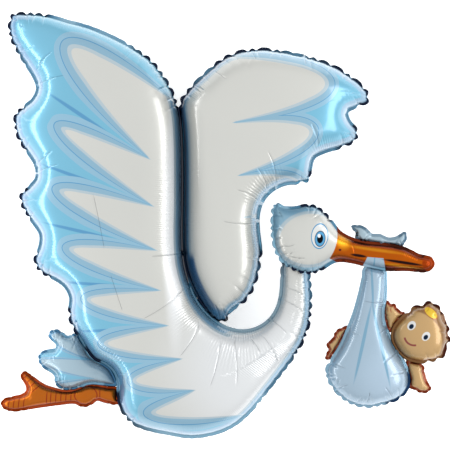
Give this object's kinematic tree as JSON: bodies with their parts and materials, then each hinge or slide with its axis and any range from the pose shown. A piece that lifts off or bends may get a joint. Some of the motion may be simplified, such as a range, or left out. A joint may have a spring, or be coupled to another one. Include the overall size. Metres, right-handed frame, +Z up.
{
  "type": "stork foil balloon",
  "caption": "Air-filled foil balloon shaped as a stork with raised wings that carries a baby in a sling from its beak.",
  "frame": {"origin": "on the floor, under the middle of the balloon's box", "axes": "+X towards the tip of the beak, +Y towards the wing tips, +Z up through the printed front; the balloon lies on its back"},
  "size_m": [1.6174, 1.532, 0.3166],
  "materials": {
    "white_foil": "pearly metallised film",
    "knot_foil": "metallised film",
    "sling_foil": "metallised film",
    "skin_foil": "metallised film",
    "blue_foil": "metallised film",
    "orange_foil": "metallised film"
  },
  "bodies": {
    "root": {"body_neck_and_near_wing": "white_foil", "far_wing": "white_foil", "head_and_beak": "white_foil", "sling_knot": "knot_foil", "sling": "sling_foil", "baby_head": "skin_foil", "baby_arm": "skin_foil", "baby_leg": "skin_foil", "baby_hand": "skin_foil", "tail_feathers": "blue_foil", "legs": "orange_foil"}
  },
  "joints": []
}
